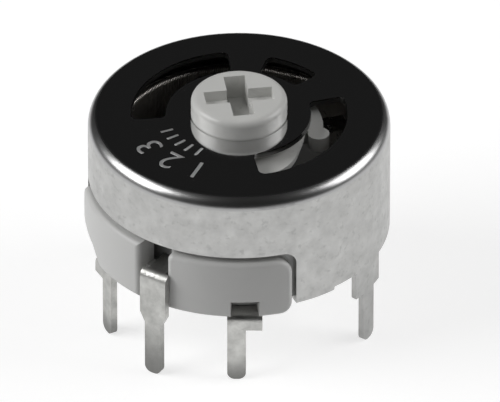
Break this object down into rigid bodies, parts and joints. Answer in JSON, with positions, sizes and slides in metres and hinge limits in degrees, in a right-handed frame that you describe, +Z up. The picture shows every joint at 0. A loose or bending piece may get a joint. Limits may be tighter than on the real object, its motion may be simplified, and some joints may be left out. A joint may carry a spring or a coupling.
{
  "type": "wirewound trimmer potentiometer",
  "caption": "Round metal-canned wirewound trimmer with a white screwdriver-slotted rotor, windows in its top, flat circuit-board pins and a notched plastic base.",
  "frame": {"origin": "on the rotor's axis, in the plane of the circuit board's face that the terminals' shoulders stand on", "axes": "+Z up along the rotor's axis, away from the board; the slotted wall and the terminals face -Y"},
  "size_m": [0.02, 0.0201, 0.0158],
  "materials": {
    "tinned_steel": "drawn and tinned sheet, satin sides and a polished top",
    "base_plastic": "moulded, satin, light grey",
    "card_board": "laminated board",
    "wire": "bare resistance wire",
    "tinned_brass": "tinned strip with a dull solder coat",
    "spring_metal": "spring strip",
    "rotor_plastic": "moulded, smooth, off-white"
  },
  "bodies": {
    "housing": {"cover_can": "tinned_steel", "base": "base_plastic", "winding_card": "card_board", "resistance_wire": "wire", "start_clamp": "tinned_brass", "end_clamp": "tinned_brass", "start_terminal": "tinned_brass", "end_terminal": "tinned_brass", "wiper_terminal": "tinned_brass", "spring_washer": "spring_metal"},
    "rotor": {"rotor": "rotor_plastic", "wiper_spring": "spring_metal", "contact_brush": "spring_metal"}
  },
  "joints": [
    {"name": "rotor_turn", "type": "hinge", "parent": "housing", "child": "rotor", "pos_m": [0, 0, 0.008], "axis": [0, 0, 1], "range_deg": [-89, 180]}
  ]
}
